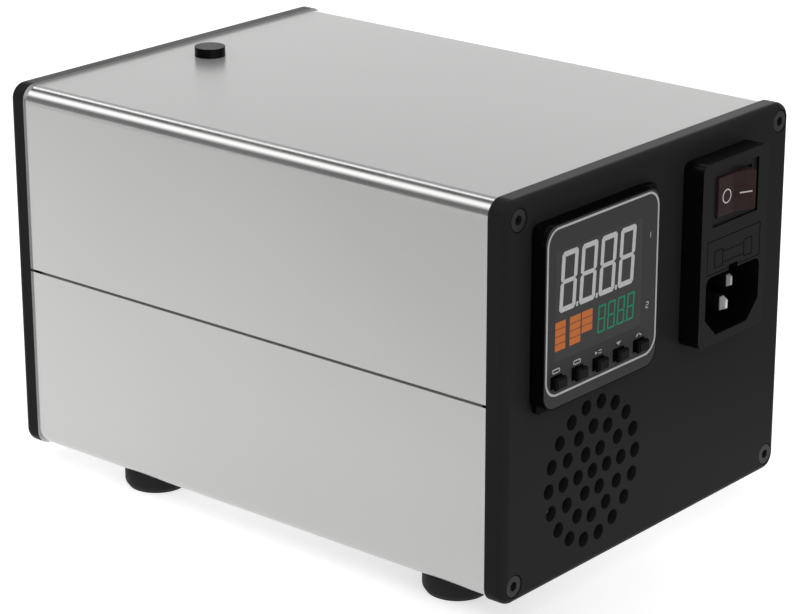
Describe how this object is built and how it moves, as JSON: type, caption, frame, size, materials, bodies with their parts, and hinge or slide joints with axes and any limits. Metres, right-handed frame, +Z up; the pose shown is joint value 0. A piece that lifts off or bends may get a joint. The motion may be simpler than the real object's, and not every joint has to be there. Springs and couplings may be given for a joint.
{
  "type": "reflow oven",
  "caption": "Bench reflow oven in a split aluminium case with black end plates: temperature controller, mains inlet, fan vents, heated chamber and sliding board drawer.",
  "frame": {"origin": "centre of the footprint, on the surface the rubber feet stand on", "axes": "+Z up, the control panel faces -Y, the drawer opens along +Y, +X is to the right seen from the control panel"},
  "size_m": [0.124, 0.2232, 0.1152],
  "materials": {
    "black_anodised": "matte black anodised",
    "silver_anodised": "satin clear anodised",
    "steel": "plain steel",
    "black_steel": "black oxide",
    "rubber": "matte",
    "black_plastic": "fine matte",
    "grey_face": "satin dark grey",
    "red_plastic": "dark translucent red",
    "circuit_board": "green board",
    "white_ceramic": "matt white ceramic",
    "fibre_board": "ceramic fibre board",
    "quartz": "clear quartz with ceramic ends",
    "brass": "plain brass",
    "fuse_glass": "clear glass with nickel caps",
    "gasket": "woven glass rope",
    "wire_brown": "brown and blue insulation",
    "wire_earth": "green and yellow insulation"
  },
  "bodies": {
    "case": {"front_plate": "black_anodised", "rear_plate": "black_anodised", "upper_shell": "silver_anodised", "lower_shell": "silver_anodised", "plate_screws": "black_steel", "front_left_foot": "rubber", "front_right_foot": "rubber", "rear_left_foot": "rubber", "rear_right_foot": "rubber", "foot_screws": "steel", "controller_case": "black_plastic", "controller_face": "grey_face", "display_board": "circuit_board", "control_board": "circuit_board", "controller_terminals": "black_plastic", "controller_clamp": "black_plastic", "clamp_screws": "steel", "inlet_housing": "black_plastic", "power_pins": "steel", "earth_pin": "steel", "rocker_pin": "steel", "fan_frame": "black_plastic", "fan_shaft": "steel", "fan_screws": "steel", "bulkhead": "steel", "relay_base": "silver_anodised", "solid_state_relay": "black_plastic", "relay_screws": "steel", "terminal_strip": "white_ceramic", "ground_stud": "brass", "oven_liner": "steel", "insulation_wrap": "fibre_board", "insulation_board": "fibre_board", "upper_heaters": "quartz", "lower_heaters": "quartz", "heater_brackets": "steel", "thermocouple": "steel", "left_rail": "steel", "right_rail": "steel", "drawer_gasket": "gasket", "button_switch": "black_plastic", "mains_wires": "wire_brown", "earth_wire": "wire_earth"},
    "menu_key": {"menu_key": "black_plastic"},
    "shift_key": {"shift_key": "black_plastic"},
    "run_key": {"run_key": "black_plastic"},
    "down_key": {"down_key": "black_plastic"},
    "up_key": {"up_key": "black_plastic"},
    "rocker": {"power_rocker": "red_plastic"},
    "fuse_carrier": {"fuse_drawer": "black_plastic", "fuse": "fuse_glass"},
    "fan_rotor": {"fan_rotor": "black_plastic"},
    "drawer": {"drawer_front": "black_anodised", "drawer_plug": "fibre_board", "board_tray": "steel", "tray_screws": "steel", "handle_bar": "silver_anodised", "handle_posts": "steel", "handle_screws": "steel"},
    "start_button": {"start_button": "black_plastic"}
  },
  "joints": [
    {"name": "menu_key_press", "type": "slide", "parent": "case", "child": "menu_key", "axis": [0, 1, 0], "range_m": [0, 0.0006], "stiffness_N_per_m": 500},
    {"name": "shift_key_press", "type": "slide", "parent": "case", "child": "shift_key", "axis": [0, 1, 0], "range_m": [0, 0.0006], "stiffness_N_per_m": 500},
    {"name": "run_key_press", "type": "slide", "parent": "case", "child": "run_key", "axis": [0, 1, 0], "range_m": [0, 0.0006], "stiffness_N_per_m": 500},
    {"name": "down_key_press", "type": "slide", "parent": "case", "child": "down_key", "axis": [0, 1, 0], "range_m": [0, 0.0006], "stiffness_N_per_m": 500},
    {"name": "up_key_press", "type": "slide", "parent": "case", "child": "up_key", "axis": [0, 1, 0], "range_m": [0, 0.0006], "stiffness_N_per_m": 500},
    {"name": "start_press", "type": "slide", "parent": "case", "child": "start_button", "axis": [0, 0, -1], "range_m": [0, 0.001], "stiffness_N_per_m": 800},
    {"name": "rocker_tilt", "type": "hinge", "parent": "case", "child": "rocker", "pos_m": [0.0273, -0.10362, 0.0966], "axis": [0, 0, 1], "range_deg": [0, 24]},
    {"name": "fuse_carrier_slide", "type": "slide", "parent": "case", "child": "fuse_carrier", "axis": [0, -1, 0], "range_m": [0, 0.018]},
    {"name": "fan_spin", "type": "hinge", "parent": "case", "child": "fan_rotor", "pos_m": [-0.0249, -0.09547, 0.0324], "axis": [0, 1, 0], "continuous": true},
    {"name": "drawer_slide", "type": "slide", "parent": "case", "child": "drawer", "axis": [0, 1, 0], "range_m": [0, 0.07]}
  ]
}
